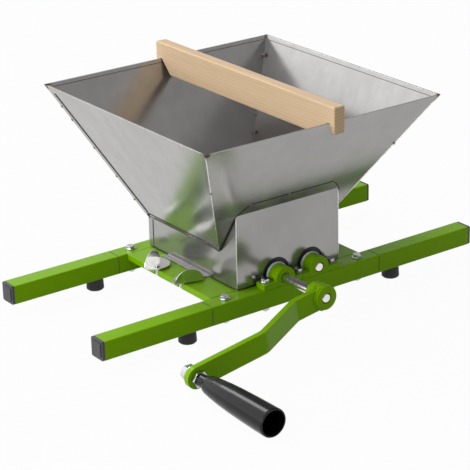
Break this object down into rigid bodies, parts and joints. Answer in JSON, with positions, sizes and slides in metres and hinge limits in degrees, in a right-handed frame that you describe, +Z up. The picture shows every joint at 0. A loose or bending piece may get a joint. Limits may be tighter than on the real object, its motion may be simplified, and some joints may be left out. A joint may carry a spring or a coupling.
{
  "type": "apple scratter",
  "caption": "Hand-cranked apple scratter: square sheet-metal hopper over two geared toothed rollers, on a square-tube frame with rubber feet, joggled crank and wooden bar across the mouth.",
  "frame": {"origin": "middle of the bounding box, on the floor plane of the rubber feet", "axes": "+X along the rails, to the right when facing the crank; +Y away from the crank; +Z up"},
  "size_m": [0.584, 0.5558, 0.285],
  "materials": {
    "green_paint": "glossy powder coat",
    "stainless_sheet": "mill satin",
    "bright_zinc": "zinc plated",
    "ground_steel": "ground",
    "black_steel": "blackened",
    "turned_aluminium": "turned",
    "black_plastic": "moulded",
    "grip_plastic": "glossy",
    "foot_rubber": "matt",
    "nylon": "satin",
    "light_wood": "planed, unfinished"
  },
  "bodies": {
    "frame": {"front_rail": "green_paint", "rear_rail": "green_paint", "left_cross_member": "green_paint", "right_cross_member": "green_paint", "front_left_leg": "green_paint", "front_right_leg": "green_paint", "rear_left_leg": "green_paint", "rear_right_leg": "green_paint", "front_left_cap": "black_plastic", "front_right_cap": "black_plastic", "rear_left_cap": "black_plastic", "rear_right_cap": "black_plastic", "front_left_foot": "foot_rubber", "front_right_foot": "foot_rubber", "rear_left_foot": "foot_rubber", "rear_right_foot": "foot_rubber", "foot_screws": "bright_zinc", "leg_bolts": "bright_zinc", "block_bolts": "bright_zinc", "frame_nuts": "bright_zinc", "hopper_front": "stainless_sheet", "hopper_rear": "stainless_sheet", "hopper_left": "stainless_sheet", "hopper_right": "stainless_sheet", "left_guide": "stainless_sheet", "right_guide": "stainless_sheet", "front_drive_block": "green_paint", "front_idler_block": "green_paint", "rear_drive_block": "green_paint", "rear_idler_block": "green_paint", "front_drive_bush": "nylon", "front_idler_bush": "nylon", "rear_drive_bush": "nylon", "rear_idler_bush": "nylon", "shaft_seals": "foot_rubber", "clip_studs": "bright_zinc"},
    "drive_train": {"drive_shaft": "ground_steel", "drive_roller": "turned_aluminium", "drive_knives": "stainless_sheet", "drive_spacers": "stainless_sheet", "drive_gear": "ground_steel", "drive_grub": "black_steel", "crank_hub": "green_paint", "crank_arm": "green_paint", "crank_grub": "black_steel", "grip_bolt": "bright_zinc", "grip_nuts": "bright_zinc", "grip_washer": "bright_zinc"},
    "idler_train": {"idler_shaft": "ground_steel", "idler_roller": "turned_aluminium", "idler_knives": "stainless_sheet", "idler_spacers": "stainless_sheet", "idler_gear": "ground_steel", "idler_grub": "black_steel"},
    "handle": {"crank_grip": "grip_plastic"},
    "bar": {"wooden_bar": "light_wood"},
    "front_left_turn": {"front_left_clip": "stainless_sheet"},
    "front_right_turn": {"front_right_clip": "stainless_sheet"},
    "rear_left_turn": {"rear_left_clip": "stainless_sheet"},
    "rear_right_turn": {"rear_right_clip": "stainless_sheet"}
  },
  "joints": [
    {"name": "crank_turn", "type": "hinge", "parent": "frame", "child": "drive_train", "pos_m": [-0.02, 0.0899, 0.0503], "axis": [0, 1, 0], "continuous": true},
    {"name": "idler_turn", "type": "hinge", "parent": "frame", "child": "idler_train", "pos_m": [0.034, 0.0899, 0.0503], "axis": [0, 1, 0], "continuous": true},
    {"name": "grip_spin", "type": "hinge", "parent": "drive_train", "child": "handle", "pos_m": [-0.23049, -0.2099, 0.01771], "axis": [0, 1, 0], "continuous": true},
    {"name": "bar_lift", "type": "slide", "parent": "frame", "child": "bar", "axis": [0, 0, 1], "range_m": [0, 0.06]},
    {"name": "front_left_clip_turn", "type": "hinge", "parent": "frame", "child": "front_left_turn", "pos_m": [-0.1155, 0.0634, 0.0432], "axis": [0, 0, -1], "range_deg": [0, 120]},
    {"name": "front_right_clip_turn", "type": "hinge", "parent": "frame", "child": "front_right_turn", "pos_m": [0.1155, 0.0634, 0.0432], "axis": [0, 0, 1], "range_deg": [0, 120]},
    {"name": "rear_left_clip_turn", "type": "hinge", "parent": "frame", "child": "rear_left_turn", "pos_m": [-0.1155, 0.1164, 0.0432], "axis": [0, 0, 1], "range_deg": [0, 120]},
    {"name": "rear_right_clip_turn", "type": "hinge", "parent": "frame", "child": "rear_right_turn", "pos_m": [0.1155, 0.1164, 0.0432], "axis": [0, 0, -1], "range_deg": [0, 120]}
  ],
  "couplings": [
    {"joint": "idler_turn", "follows": "crank_turn", "ratio": -1}
  ]
}
